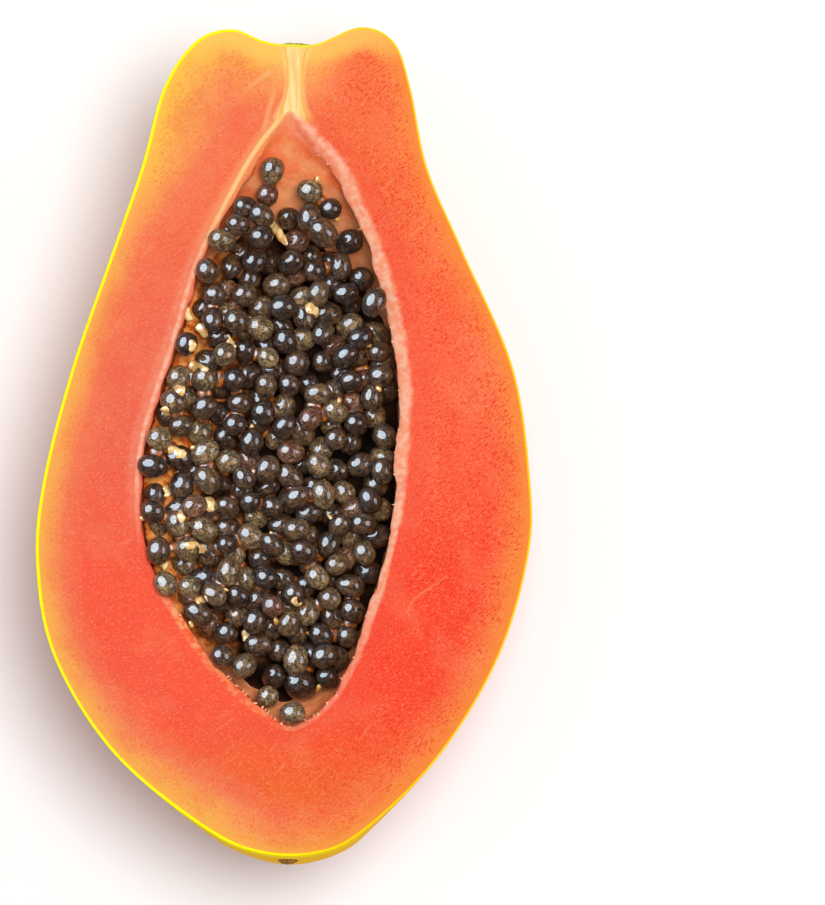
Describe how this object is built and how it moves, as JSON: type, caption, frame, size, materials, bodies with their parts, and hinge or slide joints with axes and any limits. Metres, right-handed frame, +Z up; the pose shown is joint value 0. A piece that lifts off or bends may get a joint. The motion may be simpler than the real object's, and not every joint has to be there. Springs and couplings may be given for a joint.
{
  "type": "papaya half",
  "caption": "Ripe papaya cut lengthwise and lying on its skin, with salmon flesh, a thin yellow rind and a spindle-shaped cavity heaped with dark wet seeds.",
  "frame": {"origin": "bottom centre of the bounding box, at the middle of the surface that the half rests on", "axes": "+Y along the fruit towards its stem end, +Z up, square to the cut face, +X towards the right side of the cut face as seen from above"},
  "size_m": [0.1241, 0.2102, 0.0624],
  "materials": {
    "flesh": "moist, fine-grained cut fruit",
    "seeds": "wet, wrinkled seeds in clear jelly",
    "skin": "smooth waxy fruit skin, satin",
    "pulp": "moist pale fibre"
  },
  "bodies": {
    "root": {"flesh": "flesh", "seeds": "seeds"}
  },
  "joints": []
}
